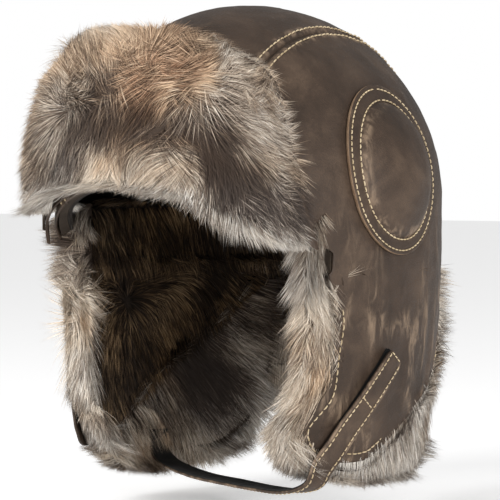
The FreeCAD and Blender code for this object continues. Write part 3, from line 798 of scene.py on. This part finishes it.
def fur(name, body, node, count, seed, length, width, depth, flow, lean, material, slot_name,
        keep=None, shade=None, warm=None, clump=7.0, wild=0.35, sag=0.0, sizes=None, outline=None, axes=None,
        gather=0.22, behind=None, stand=None):
    """Hairs of a pile, rooted a depth inside a CAD solid's faces. flow gives the way they are combed."""
    rng = np.random.default_rng(seed)
    corners, normals, area = cad_triangles(node)
    pick = rng.choice(len(area), count, p=area / area.sum())
    u, v = rng.random(count), rng.random(count)
    over = u + v > 1
    u[over], v[over] = 1 - u[over], 1 - v[over]
    a, b, c = corners[pick, 0], corners[pick, 1], corners[pick, 2]
    place = a + (b - a) * u[:, None] + (c - a) * v[:, None]
    normal = normals[pick]
    if keep is not None:
        wanted = keep(place, normal)
        place, normal = place[wanted], normal[wanted]
    count = len(place)
    combed = flow(place, normal)
    combed = combed + noise_vector(place, 34, seed) * wild * 1.3 + noise_vector(place, 11, seed + 5) * wild
    combed = combed - normal * (combed * normal).sum(1, keepdims=True)
    combed = unit(combed)
    size = length * (0.72 + 0.5 * rng.random(count)) * (1 + 0.18 * wave_noise(place, 20, seed + 9))
    if sizes is not None:
        size = size * sizes(place, normal)
    rise = lean * (0.7 + 0.6 * rng.random(count))
    if stand is not None:
        rise = rise * stand(place, normal)
    root = place - normal * depth
    tip = root + combed * size[:, None] + normal * (size * rise)[:, None]
    tip = tip + rng.normal(0, 0.05, (count, 3)) * size[:, None]
    tip[:, 2] -= sag * size
    # hairs gather in locks: each tip is drawn towards the tip of the lock it grows in
    cell = np.floor((place + noise_vector(place, 6, seed + 20) * 2.0) / clump * 2.2).astype(np.int64)
    _, lock = np.unique(cell, axis=0, return_inverse=True)
    lock = lock.ravel()
    many = np.bincount(lock).astype(float)
    middle = np.stack([np.bincount(lock, tip[:, i]) / many for i in range(3)], 1)
    pull = (gather * (0.4 + 1.2 * rng.random(count)))[:, None]
    tip = tip * (1 - pull) + middle[lock] * pull
    if outline is not None:
        slack = rng.normal(0.5, 1.6, count)
        tip = trimmed_to(tip, outline, axes, slack)
        root = trimmed_to(root, outline, axes, -5.0)
    tip[:, 1] = np.maximum(tip[:, 1], FRONT_LIMIT)
    if behind is not None:
        tip = off_the_leather(tip, behind)
    # a bent hair: it leaves the skin steeply and lies over towards its tip
    bend = root + (tip - root) * 0.36 + normal * (size * 0.20)[:, None]
    stations = np.array([0.0, 0.3, 0.62, 1.0])
    spine = []
    for t in stations:
        spine.append((1 - t) ** 2 * root + 2 * t * (1 - t) * bend + t * t * tip)
    spine = np.stack(spine, 1)
    axis = unit(tip - root)
    across = unit(np.cross(axis, unit(normal + rng.normal(0, 0.45, (count, 3)))))
    thick = width * (0.7 + 0.7 * rng.random(count))
    taper = np.array([0.9, 1.0, 0.7])
    verts = np.empty((count, 7, 3))
    for j in range(3):
        verts[:, 2 * j] = spine[:, j] - across * (thick * taper[j] / 2)[:, None]
        verts[:, 2 * j + 1] = spine[:, j] + across * (thick * taper[j] / 2)[:, None]
    verts[:, 6] = spine[:, 3]
    base = np.arange(count) * 7
    quads = np.concatenate([
        np.stack([base, base + 1, base + 3, base + 2], 1),
        np.stack([base + 2, base + 3, base + 5, base + 4], 1),
    ])
    tris = np.stack([base + 4, base + 5, base + 6], 1)
    me = bpy.data.meshes.new(name)
    me.vertices.add(count * 7)
    me.vertices.foreach_set("co", (verts * MM).astype(np.float32).ravel())
    corner_index = np.concatenate([quads.ravel(), tris.ravel()])
    starts = np.concatenate([np.arange(len(quads)) * 4, len(quads) * 4 + np.arange(len(tris)) * 3])
    me.loops.add(len(corner_index))
    me.loops.foreach_set("vertex_index", corner_index.astype(np.int32))
    me.polygons.add(len(starts))
    me.polygons.foreach_set("loop_start", starts.astype(np.int32))
    me.update(calc_edges=True)
    me.polygons.foreach_set("use_smooth", np.ones(len(starts), bool))
    along = np.tile(np.array([0, 0, 0.3, 0.3, 0.62, 0.62, 1.0]), count)
    for attribute_name, kind, values in (
        ("along", "FLOAT", along),
        ("luck", "FLOAT", np.repeat(rng.random(count), 7)),
        ("shade", "FLOAT", np.repeat(shade(place, normal) if shade else np.zeros(count), 7)),
        ("warm", "FLOAT", np.repeat(warm(place, normal) if warm else np.zeros(count), 7)),
        ("root_place", "FLOAT_VECTOR", np.repeat(place * MM, 7, axis=0)),
    ):
        layer = me.attributes.new(attribute_name, kind, "POINT")
        field = "vector" if kind == "FLOAT_VECTOR" else "value"
        layer.data.foreach_set(field, np.asarray(values, np.float32).ravel())
    # each hair has its own small cell of the map
    side_cells = int(math.ceil(math.sqrt(count)))
    cx, cy = np.arange(count) % side_cells, np.arange(count) // side_cells
    us = np.array([0.2, 0.8, 0.2, 0.8, 0.25, 0.75, 0.5])
    vs = np.array([0.1, 0.1, 0.35, 0.35, 0.62, 0.62, 0.9])
    uv = np.stack([(cx[:, None] + us) / side_cells, (cy[:, None] + vs) / side_cells], 2).reshape(-1, 2)
    layer = me.uv_layers.new(name="OFBake")
    layer.data.foreach_set("uv", uv[corner_index].astype(np.float32).ravel())
    # soft shading: normals lean from the skin's towards the hair's own
    own = unit(np.cross(across, axis))
    own *= np.sign((own * normal).sum(1, keepdims=True) + 1e-6)
    shading = unit(normal * 0.55 + own * 0.6 + axis * 0.12)
    me.normals_split_custom_set_from_vertices(np.repeat(shading, 7, axis=0).tolist())
    me.materials.append(material)
    ob = bpy.data.objects.new(name, me)
    bpy.context.scene.collection.objects.link(ob)
    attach(ob, body)
    return ob


def down(place, normal):
    return np.tile(np.array([0, 0, -1.0]), (len(place), 1))


def visor_flow(place, normal):
    """Combed out from a parting near the visor's middle to its rim."""
    parting = place.copy()
    parting[:, 0] = np.clip(place[:, 0], -38, 44)
    parting[:, 1] = -132.0
    parting[:, 2] = 56 + 6 * np.sin(place[:, 0] / 23)
    away = place - parting
    return unit(away) * 0.75 + np.array([-0.15, 0, -0.30])


def visor_shade(place, normal):
    """Dark through the middle band, pale along the lower rim and at the top, and painted light on the left end, which
    lies in shadow.
    """
    x, z = place[:, 0], place[:, 2]
    middle = 50 - 0.9 * np.clip(x - 35, 0, None)
    band = np.exp(-(((z - middle) / 15) ** 2)) * smooth(-50, 5, x)
    right = smooth(25, 70, x) * smooth(70, 30, z)
    rim = BROW_RISE * np.sqrt(np.clip(1 - (x / BROW_WIDTH) ** 2, 0, 1)) - BROW_DROP
    low = smooth(16, 3, z - rim)
    high = smooth(52, 74, z)
    # painted light: the left end is lifted because it faces away from the side lamp and lies in shadow
    left = smooth(-60, -85, x)
    return -0.50 * band + 0.02 * right + 0.12 * low + 0.06 * high + 0.20 * left


def visor_warm(place, normal):
    x, z = place[:, 0], place[:, 2]
    left = smooth(-30, -80, x) * smooth(-5, 30, z)
    top = smooth(45, 75, z)
    low = smooth(30, 5, z)
    return 0.17 * left + 0.13 * top - 0.16 * low


def flap_depth(place):
    """Distance of a place on an ear flap from the edge of its fur, in millimetres."""
    over, _ = outside_by(place[:, 1:3], FLAP_TRIM)
    return -over


def make_fur():
    flat, side_on = [0, 2], [1, 2]
    undercoat("visor_fur", 4.0, UNDERCOAT_PAINTED_DARK, "visor", VISOR_TRIM, flat)
    pile = dict(shade=visor_shade, warm=visor_warm, sag=0.10, outline=VISOR_TRIM, axes=flat,
                keep=lambda p, n: n[:, 1] < 0.55)
    fur("visor_fur_pile", "visor", "visor_fur", 104000, 11, 13, 0.32, 5.0, visor_flow, 0.52, FUR, "mixed_fur",
        wild=0.6, **pile)
    fur("visor_fur_guard_hairs", "visor", "visor_fur", 34000, 13, 19, 0.27, 5.0, visor_flow, 0.42, FUR, "mixed_fur",
        wild=0.75, **pile)
    for side, name in ((1, "left"), (-1, "right")):
        body = name + "_ear_flap"

        def trim_flow(place, normal, side=side):
            centre = np.array([side * 75.0, 5.0, -70.0])
            away = place - centre
            away[:, 0] *= 0.3
            rear = smooth(70, 105, place[:, 1])[:, None]
            return unit(away) * 0.7 + np.array([0, 0, -0.6]) * (1 - rear) + np.array([0, 0.6, -0.1]) * rear

        def trim_stand(place, normal):
            return 1 + 2.4 * smooth(72, 104, place[:, 1])

        def trim_keep(place, normal):
            return (normal[:, 2] < 0.5) | (place[:, 2] < -60)

        def trim_shade(place, normal, side=side):
            # painted shade: fur facing into the hat is darkened the further it lies from the trim's edge
            inside = smooth(0.35, -0.35, normal[:, 0] * side)
            deep = smooth(10, 30, flap_depth(place))
            low = smooth(-95, -140, place[:, 2])
            front = smooth(-40, -64, place[:, 1])
            return 0.12 + 0.03 * low - 0.03 * front - 0.44 * inside * deep

        def trim_warm(place, normal):
            return -0.06 + 0.10 * smooth(-20, -60, place[:, 1]) - 0.12 * smooth(-110, -150, place[:, 2])

        outline = LEFT_FLAP_TRIM if side > 0 else RIGHT_FLAP_TRIM
        pile = dict(shade=trim_shade, warm=trim_warm, sag=0.12, outline=outline, axes=side_on, keep=trim_keep,
                    behind=side, stand=trim_stand)
        undercoat(body + "_fur_trim", 3.6, UNDERCOAT_PAINTED_DARK, body, outline, side_on)
        fur(body + "_edge_pile", body, body + "_fur_trim", 76000, 23 + side, 13, 0.33, 4.8, trim_flow, 0.45, FUR,
            "mixed_fur", **pile)
        fur(body + "_edge_guard_hairs", body, body + "_fur_trim", 20000, 27 + side, 18, 0.27, 4.8, trim_flow, 0.4,
            FUR,
            "mixed_fur", wild=0.5, **pile)

        def lining_shade(place, normal):
            # painted light: the lining is lighter low down and towards the rear, where light reaches in
            low = smooth(-70, -125, place[:, 2]) * smooth(-50, 30, place[:, 1])
            return -0.06 + 0.22 * low

        undercoat(body + "_fur_lining", 3.2, UNDERCOAT_IN_PAINTED_SHADE, body)
        fur(body + "_lining_pile", body, body + "_fur_lining", 30000, 31 + side, 13, 0.4, 3.8, trim_flow, 0.34,
            FUR_IN_PAINTED_SHADE,
            "dark_fur", keep=lambda p, n, side=side: (n[:, 0] * side < 0.0) & (n[:, 2] < 0.5), shade=lining_shade,
            behind=side)

    # longer hairs over the root of the chin strap
    def strap_root_flow(place, normal):
        return unit(np.array([-73.0, 8.0, -152.0]) - place) * 0.4 + np.array([0, -0.3, -0.8])

    fur("strap_root_hairs", "right_ear_flap", "right_ear_flap_fur_trim", 90000, 61, 17, 0.33, 4.0, strap_root_flow,
        0.7,
        FUR, "mixed_fur", wild=0.6, shade=lambda p, n: np.full(len(p), 0.0),
        keep=lambda p, n: np.linalg.norm(p - np.array([-73.0, 4.0, -138.0]), axis=1) < 24,
        outline=RIGHT_FLAP_TRIM, axes=side_on)

    # the pile that turns forward at the temples, from the visor's ends to the flaps
    for side, name in ((1, "left"), (-1, "right")):
        def temple_flow(place, normal, side=side):
            across = np.where(wave_noise(place, 1.5, 77) > 0, 0.9, -0.45) * side
            return np.stack([across, np.full(len(place), -0.2), np.full(len(place), -0.5)], 1)

        fur(name + "_temple_hairs", "crown", "crown_fur_band", 420000, 65 + side, 19, 0.36, 2.0, temple_flow, 0.75,
            FUR,
            "mixed_fur", wild=0.6, shade=lambda p, n: np.full(len(p), 0.05),
            keep=lambda p, n, side=side: ((p[:, 0] * side > 62) & (p[:, 1] < -57) & (n[:, 1] < -0.5)
                                          & (p[:, 2] < 24) & (p[:, 2] > -40)))

    def neck_flow(place, normal):
        return unit(place - np.array([0, 110.0, -60.0])) * 0.5 + np.array([0, 0, -1.0])

    undercoat("neck_flap_fur_trim", 3.6, UNDERCOAT_PAINTED_DARK, "neck_flap")
    fur("neck_flap_edge_pile", "neck_flap", "neck_flap_fur_trim", 26000, 51, 14, 0.36, 4.8, neck_flow, 0.4, FUR,
        "mixed_fur", shade=lambda p, n: np.full(len(p), 0.06), sag=0.1)
    undercoat("neck_flap_fur_lining", 3.2, UNDERCOAT_IN_PAINTED_SHADE, "neck_flap")
    fur("neck_flap_lining_pile", "neck_flap", "neck_flap_fur_lining", 12000, 53, 13, 0.4, 3.8, down, 0.34, FUR_IN_PAINTED_SHADE,
        "dark_fur", keep=lambda p, n: (n[:, 1] < -0.3) & (n[:, 2] < 0.5))
    undercoat("crown_fur_band", 3.2, UNDERCOAT_IN_PAINTED_SHADE, "crown")
    fur("crown_band_pile", "crown", "crown_fur_band", 36000, 57, 13, 0.4, 3.8, down, 0.34, FUR_IN_PAINTED_SHADE,
        "dark_fur", keep=lambda p, n: (p * n)[:, :2].sum(1) < 5)


# --- chin strap

STRAP_ROUTE = [
    ((-73, 13, -134), (-1, 0.1, -0.1)),
    ((-72.5, 12.5, -142), (-0.97, 0, -0.3)),
    ((-67, 9, -148.5), (-0.5, 0.1, -0.85)),
    ((-54, 1, -152), (-0.1, 0, -1)),
    ((-22, -19, -154), (-0.03, 0, -1)),
    ((10, -36, -154), (0.03, 0, -1)),
    ((40, -49, -154.3), (0.08, -0.05, -1)),
    ((62, -56.5, -153.6), (0.3, -0.1, -0.95)),
    ((76.5, -58.5, -149.5), (0.75, -0.2, -0.62)),
]
STRAP_ON_FLAP = [(-140, -55), (-131, -49), (-120, -42), (-109, -33), (-97, -23), (-87, -14), (-82, -10)]


def strap_line(steps=16):
    """The strap's middle, densely: points, the way across it and the way its leather side faces."""
    pts = [np.array(p, float) for p, _ in STRAP_ROUTE]
    ups = [unit(np.array(f, float)) for _, f in STRAP_ROUTE]
    for z, y in STRAP_ON_FLAP:
        p = np.array([[float(across_at(np.float64(y), np.float64(z))), y, z]])
        n = facing(p)
        pts.append((p + n * 2.65)[0])
        ups.append(n[0])
    pts, ups = np.array(pts), np.array(ups)
    dense, up = [], []
    for i in range(len(pts) - 1):
        p0, p1, p2, p3 = pts[max(i - 1, 0)], pts[i], pts[i + 1], pts[min(i + 2, len(pts) - 1)]
        for k in range(steps):
            t = k / steps
            dense.append(0.5 * ((2 * p1) + (p2 - p0) * t + (2 * p0 - 5 * p1 + 4 * p2 - p3) * t * t
                                + (3 * p1 - p0 - 3 * p2 + p3) * t**3))
            up.append(ups[i] * (1 - t) + ups[i + 1] * t)
    dense.append(pts[-1])
    up.append(ups[-1])
    mid, up = np.array(dense), unit(np.array(up))
    along = unit(np.gradient(mid, axis=0))
    across = unit(np.cross(along, up))
    return mid, across, np.cross(across, along)


def strap_band(name, low, high, half, material, rounded, replaced, ripple=0.0):
    """A band of the strap between two heights over its inner face."""
    mid, across, up = strap_line()
    run = np.concatenate([[0], np.cumsum(np.linalg.norm(np.diff(mid, axis=0), axis=1))])
    total = run[-1]
    profile = [(-1, 0.0), (-1, 0.75), (-0.93, 1.0), (-0.72, 0.86), (-0.5, 1.0), (0, 1.04), (0.5, 1.0), (0.72, 0.86),
               (0.93, 1.0), (1, 0.75), (1, 0.0), (0, 0.0)]
    if not rounded:
        profile = [(-1, 0.0), (-1, 1.0), (0, 1.0), (1, 1.0), (1, 0.0), (0, 0.0)]
    verts = []
    for i in range(len(mid)):
        close = min(1.0, (total - run[i]) / (half * 0.9))
        wide = half * (0.62 + 0.38 * math.sqrt(max(0.0, 1 - (1 - close) ** 2)))
        wobble = ripple * math.sin(run[i] * 0.9) * 0.3 + ripple * math.sin(run[i] * 0.37 + 1.0) * 0.5
        for s, h in profile:
            height = low + (high - low) * h + wobble * (1 if h > 0 else 0.4)
            verts.append(mid[i] + across[i] * (s * wide) + up[i] * height)
    n = len(profile)
    faces = []
    for i in range(len(mid) - 1):
        for k in range(n):
            a, b = i * n + k, i * n + (k + 1) % n
            faces.append((a, b, b + n, a + n))
    faces.append(tuple(range(n))[::-1])
    faces.append(tuple((len(mid) - 1) * n + k for k in range(n)))
    verts = np.array(verts)
    wear_and_highlight = np.tile(np.array([0.2 + 0.7 * (abs(s) > 0.9) for s, _ in profile]), len(mid))
    wear_and_highlight = np.clip(wear_and_highlight + 0.3 * wave_noise(verts, 9, 5), 0, 1)
    ob = add_object(name, verts, faces, material, "chin_strap", True, [("wear_and_highlight", "FLOAT", wear_and_highlight)])
    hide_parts(*replaced)
    return ob


def chin_strap():
    strap_band("chin_strap_face", 0.88, 2.3, 7.5, LEATHER, True, ["chin_strap_leather"], ripple=0.12)
    strap_band("chin_strap_back", 0.0, 0.8, 7.1, WEBBING, False, ["chin_strap_backing"])
    mid, across, up = strap_line()
    paths = []
    for s in (-1, 1):
        p = mid[:-6] + across[:-6] * s * 5.5 + up[:-6] * 2.2
        paths.append((p, up[:-6]))
    # the box of stitches that closes the leather over its tape, and the row across the tip
    for k in (-6, -46):
        t = np.linspace(-5.5, 5.5, 12)[:, None]
        p = mid[k] + across[k] * t + up[k] * 2.3
        paths.append((p, np.repeat(up[k][None], 12, 0)))
    sew("chin_strap_stitches", paths, "chin_strap", "chin_strap_stitching", 3.3, 2.5, 0.36)


# --- CAD nodes that stay

def repaint(node, material):
    me = nodes[node].data
    me.materials.clear()
    me.materials.append(material)


def keep_nodes():
    repaint("crown_wadding", WADDING_PAINTED_DARK)
    repaint("crown_lining", SATIN)
    repaint("sweatband", DARK_LEATHER)
    repaint("visor_leather_back", LEATHER)
    repaint("visor_stiffener", BOARD_PAINTED_DARK)
    repaint("strap_hook_patch", TAPE)
    repaint("strap_loop_patch", TAPE)


# --- stage, light and camera

def light(name, place, target, size, power, colour=(1, 1, 1)):
    data = bpy.data.lights.new(name, "AREA")
    data.shape = "DISK"
    data.size = size
    data.energy = power
    data.color = colour
    ob = bpy.data.objects.new(name, data)
    ob.location = place
    ob.rotation_euler = (Vector(target) - Vector(place)).to_track_quat("-Z", "Y").to_euler()
    bpy.context.scene.collection.objects.link(ob)


FLOOR_Z, FLOOR_HALF = -0.175, 6.0
FLOOR_GLOW = 0.30
AZIMUTH, ELEVATION, DISTANCE = 33, 2, 1.6
FRAME_WIDTH = 0.285
LOOK_AT_Z, SHIFT_RIGHT = -0.0267, 0.0011


def stage():
    m, _, shader = new_material("pale_floor", 0.9, 0.1)
    shader.inputs["Base Color"].default_value = (0.93, 0.93, 0.93, 1)
    shader.inputs["Emission Color"].default_value = (1, 1, 1, 1)
    shader.inputs["Emission Strength"].default_value = FLOOR_GLOW
    me = bpy.data.meshes.new("floor")
    s, z = FLOOR_HALF, FLOOR_Z
    me.from_pydata([(-s, -s, z), (s, -s, z), (s, s, z), (-s, s, z)], [], [(0, 1, 2, 3)])
    me.materials.append(m)
    ob = bpy.data.objects.new("floor", me)
    bpy.context.scene.collection.objects.link(ob)
    world = bpy.data.worlds.new("studio")
    world.use_nodes = True
    wt = world.node_tree
    wt.nodes["Background"].inputs["Color"].default_value = (1, 1, 1, 1)
    seen = wt.nodes.new("ShaderNodeLightPath").outputs["Is Camera Ray"]
    wt.links.new(maths(wt, "ADD", maths(wt, "MULTIPLY", seen, 0.45), 0.55), wt.nodes["Background"].inputs["Strength"])
    bpy.context.scene.world = world
    bpy.context.scene.view_settings.view_transform = "Standard"
    light("key", (-0.35, -1.7, 0.9), (0, 0, 0), 0.9, 25)
    light("side", (1.8, -0.9, 0.25), (0, 0, 0), 0.8, 26)
    light("fill", (-1.7, -1.1, 0.2), (0, 0, 0), 0.8, 7)


def camera():
    azimuth, elevation = math.radians(AZIMUTH), math.radians(ELEVATION)
    data = bpy.data.cameras.new("camera")
    data.sensor_width = 36
    data.lens = data.sensor_width * DISTANCE / FRAME_WIDTH
    ob = bpy.data.objects.new("camera", data)
    level = math.cos(elevation)
    look = Vector((math.sin(azimuth) * level, -math.cos(azimuth) * level, math.sin(elevation)))
    right = Vector((math.cos(azimuth), math.sin(azimuth), 0))
    target = Vector((0, 0, LOOK_AT_Z)) - right * SHIFT_RIGHT
    ob.location = target + look * DISTANCE
    ob.rotation_euler = (-look).to_track_quat("-Z", "Y").to_euler()
    bpy.context.scene.collection.objects.link(ob)
    bpy.context.scene.camera = ob


camera()
stage()
keep_nodes()
side_skin(1)
side_skin(-1)
centre_skin()
ear_disc(1)
ear_disc(-1)
all_stitches()
chin_strap()
make_fur()
